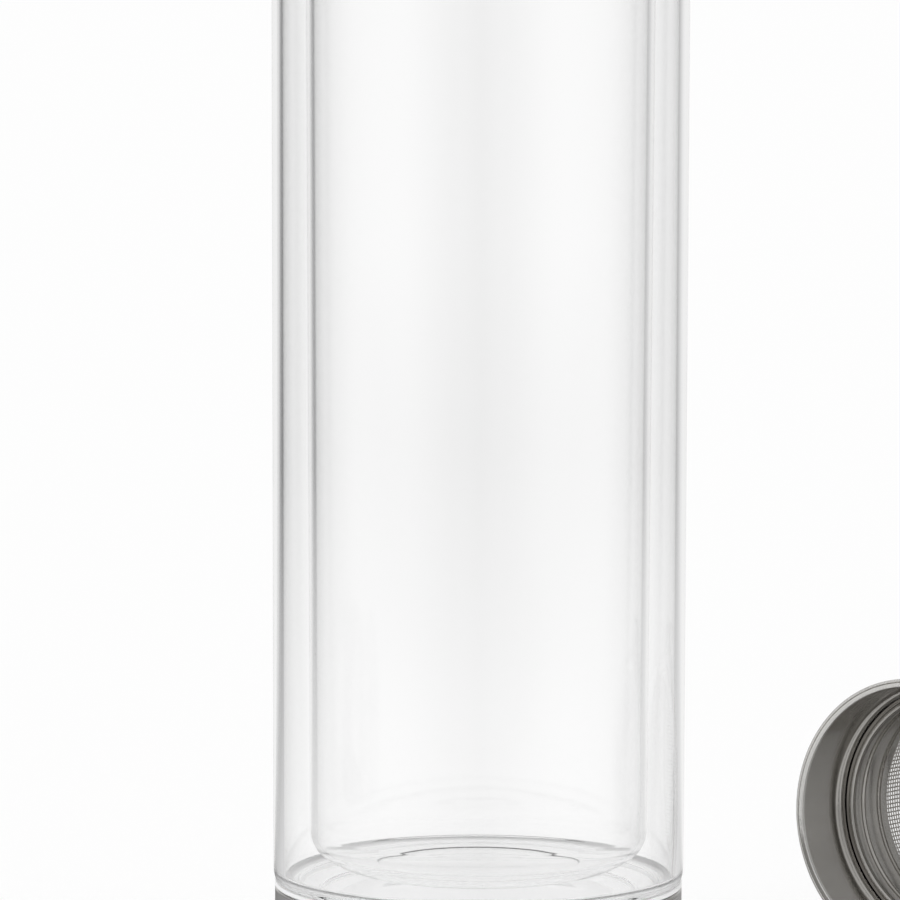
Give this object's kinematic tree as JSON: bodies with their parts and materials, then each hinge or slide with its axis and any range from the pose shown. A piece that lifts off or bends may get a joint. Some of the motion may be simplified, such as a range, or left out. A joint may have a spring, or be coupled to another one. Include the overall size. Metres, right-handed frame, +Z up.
{
  "type": "tea infuser flask",
  "caption": "Clear double-walled tea flask with a steel base and a steel screw lid, and its stainless mesh infuser lying beside it.",
  "frame": {"origin": "where the flask's axis meets the table, on the underside of the foot pad", "axes": "+Z up along the flask's axis; +Y along the lying infuser, from its mouth to its closed end; +X from the flask to the infuser's side"},
  "size_m": [0.1103, 0.1762, 0.2184],
  "materials": {
    "clear_plastic": "clear, polished",
    "grey_plastic": "fine matt",
    "silicone": "matt, translucent white",
    "steel": "brushed around the axis",
    "white_foam": "matt foam",
    "infuser_steel": "drawn, satin to polished",
    "steel_mesh": "woven wire"
  },
  "bodies": {
    "flask": {"outer_jacket": "clear_plastic", "inner_vessel": "clear_plastic", "neck_collar": "grey_plastic", "neck_seal": "silicone", "base_shell": "steel", "base_cushion": "white_foam", "foot_pad": "silicone"},
    "lid_seal": {"lid_gasket": "silicone"},
    "lid": {"lid_shell": "steel", "lid_liner": "grey_plastic", "lid_insulation": "white_foam"},
    "infuser": {"infuser_collar": "infuser_steel", "infuser_clamp_band": "infuser_steel", "infuser_mesh": "steel_mesh", "infuser_end_mesh": "steel_mesh", "infuser_end_ring": "infuser_steel"}
  },
  "joints": [
    {"name": "lid_rise", "type": "slide", "parent": "flask", "child": "lid_seal", "axis": [0, 0, 1], "range_m": [0, 0.016]},
    {"name": "lid_turn", "type": "hinge", "parent": "lid_seal", "child": "lid", "pos_m": [0, 0, 0.2], "axis": [0, 0, 1], "range_deg": [0, 720]},
    {"name": "infuser_lift", "type": "slide", "parent": "flask", "child": "infuser", "axis": [0, 0, 1], "range_m": [0, 0.15]}
  ],
  "couplings": [
    {"joint": "lid_rise", "follows": "lid_turn", "m_per_rad": 0.0012732}
  ]
}
